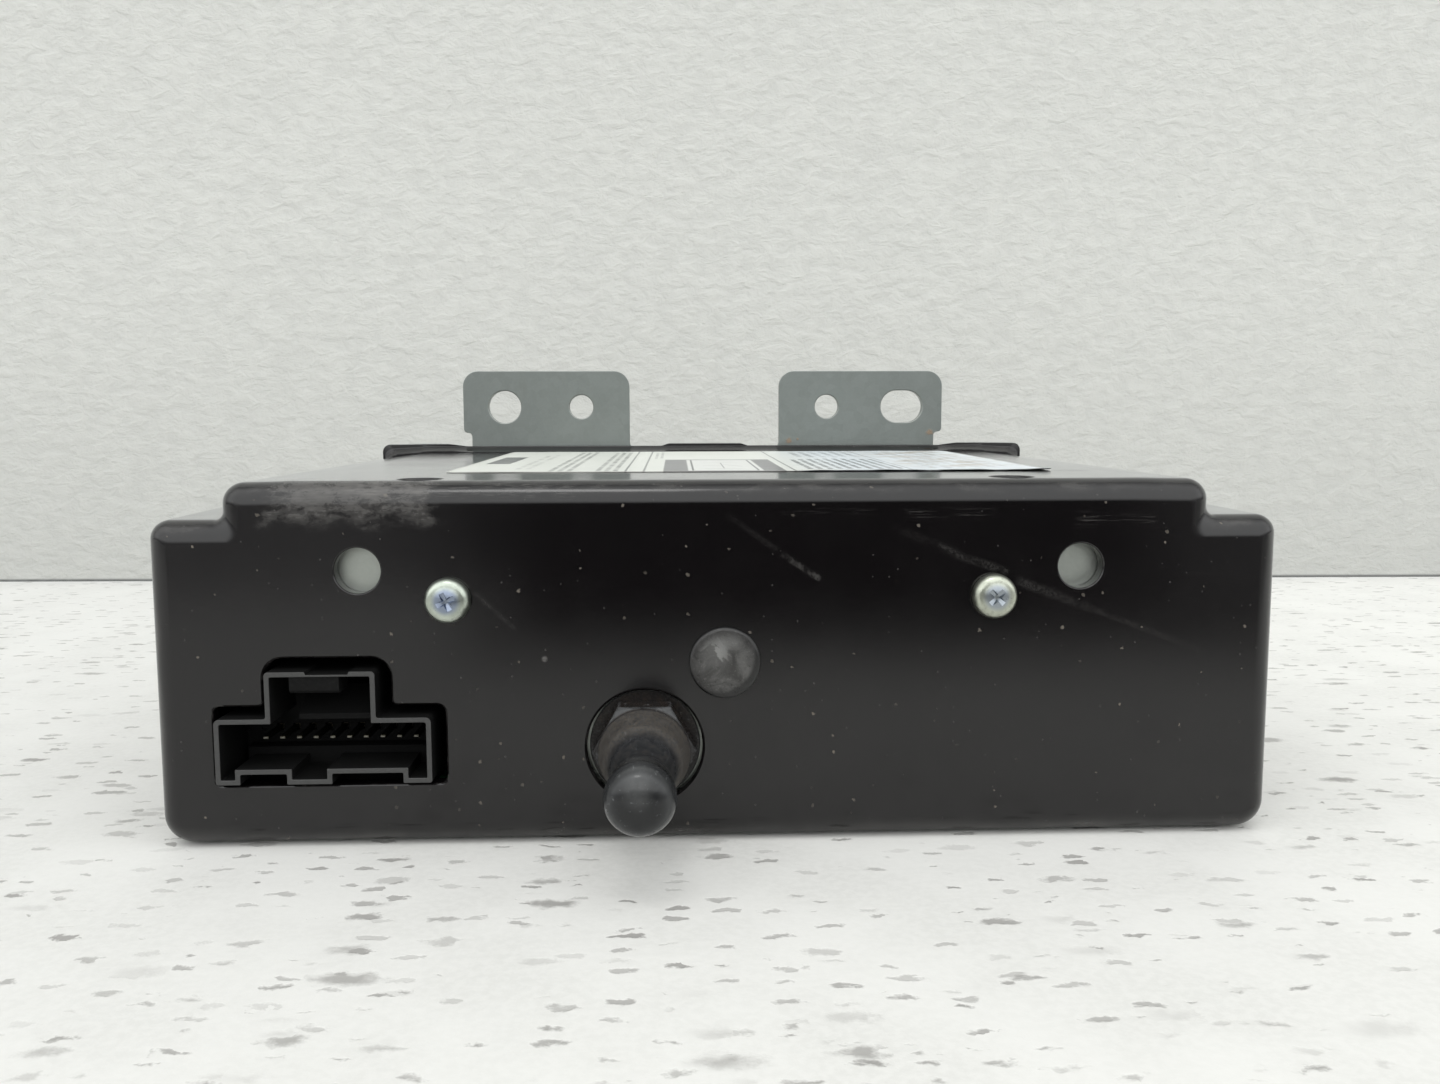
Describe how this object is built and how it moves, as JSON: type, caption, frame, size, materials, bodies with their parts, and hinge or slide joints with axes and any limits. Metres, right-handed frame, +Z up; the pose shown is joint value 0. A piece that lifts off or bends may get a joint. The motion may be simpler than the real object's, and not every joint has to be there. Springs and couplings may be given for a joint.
{
  "type": "brake control power unit",
  "caption": "Flat moulded electronics box with two sheet-metal mounting ears at the rear, a keyed multi-way plug socket and a necked locating stud at the front.",
  "frame": {"origin": "centre of the housing's flat underside, halfway between the front face and the open rear end", "axes": "+Z up, -Y out of the front face with the socket and the stud, +X to the right seen from the front"},
  "size_m": [0.1542, 0.1237, 0.067],
  "materials": {
    "black_moulding": "semi-gloss moulded, lightly scuffed",
    "zinc_plated_steel": "satin zinc plate",
    "bright_zinc": "bright zinc plate",
    "black_stud": "glossy black plate, worn at the collar",
    "socket_grey": "dark grey moulded",
    "tinned_brass": "tin over brass",
    "label_paper": "laminated, slightly stained",
    "board_green": "glass-epoxy board with green solder mask",
    "holder_nylon": "black glass-filled nylon",
    "cell_sleeve": "dark blue sleeve",
    "foam": "closed-cell foam",
    "chip_black": "black moulding compound",
    "aluminium": "extruded",
    "copper_wire": "enamelled copper winding",
    "soft_iron": "nickel-plated iron",
    "relay_case": "clear smoke polycarbonate"
  },
  "bodies": {
    "chassis": {"rear_plate": "zinc_plated_steel", "inner_frame": "zinc_plated_steel", "locating_stud": "black_stud", "stud_nut": "zinc_plated_steel", "connector_housing": "socket_grey", "main_board": "board_green", "cell_holder": "holder_nylon", "foam_pad": "foam", "control_chip": "chip_black", "choke_coil": "copper_wire", "heat_sink": "aluminium", "power_transistor_1": "chip_black", "power_transistor_2": "chip_black", "smoothing_capacitor": "cell_sleeve", "relay_base": "holder_nylon", "relay_yoke": "soft_iron", "relay_core": "soft_iron", "relay_coil": "copper_wire", "relay_contact_post": "tinned_brass", "relay_case": "relay_case", "frame_rivet_1": "bright_zinc", "frame_rivet_2": "bright_zinc", "frame_rivet_3": "bright_zinc", "terminal_01": "tinned_brass", "terminal_02": "tinned_brass", "terminal_03": "tinned_brass", "terminal_04": "tinned_brass", "terminal_05": "tinned_brass", "terminal_06": "tinned_brass", "terminal_07": "tinned_brass", "terminal_08": "tinned_brass", "terminal_09": "tinned_brass", "terminal_10": "tinned_brass", "cell_01": "cell_sleeve", "cell_02": "cell_sleeve", "cell_03": "cell_sleeve", "cell_04": "cell_sleeve", "cell_05": "cell_sleeve", "cell_06": "cell_sleeve", "cell_07": "cell_sleeve", "cell_08": "cell_sleeve", "cell_09": "cell_sleeve", "cell_10": "cell_sleeve", "cell_11": "cell_sleeve", "cell_12": "cell_sleeve", "cell_13": "cell_sleeve", "cell_14": "cell_sleeve", "cell_15": "cell_sleeve", "board_screw_1": "bright_zinc", "board_screw_2": "bright_zinc", "board_screw_3": "bright_zinc", "board_screw_4": "bright_zinc", "holder_screw_1": "bright_zinc", "holder_screw_2": "bright_zinc"},
    "cover": {"front_cover": "black_moulding", "cover_screw_left": "bright_zinc", "cover_screw_right": "bright_zinc", "rating_label": "label_paper"},
    "relay_armature": {"relay_armature": "soft_iron", "relay_contact_spring": "tinned_brass"}
  },
  "joints": [
    {"name": "cover_slide", "type": "slide", "parent": "chassis", "child": "cover", "axis": [0, -1, 0], "range_m": [0, 0.125]},
    {"name": "relay_armature_hinge", "type": "hinge", "parent": "chassis", "child": "relay_armature", "pos_m": [0.0331, -0.0275, 0.0225], "axis": [0, 1, 0], "range_deg": [0, 4]}
  ]
}
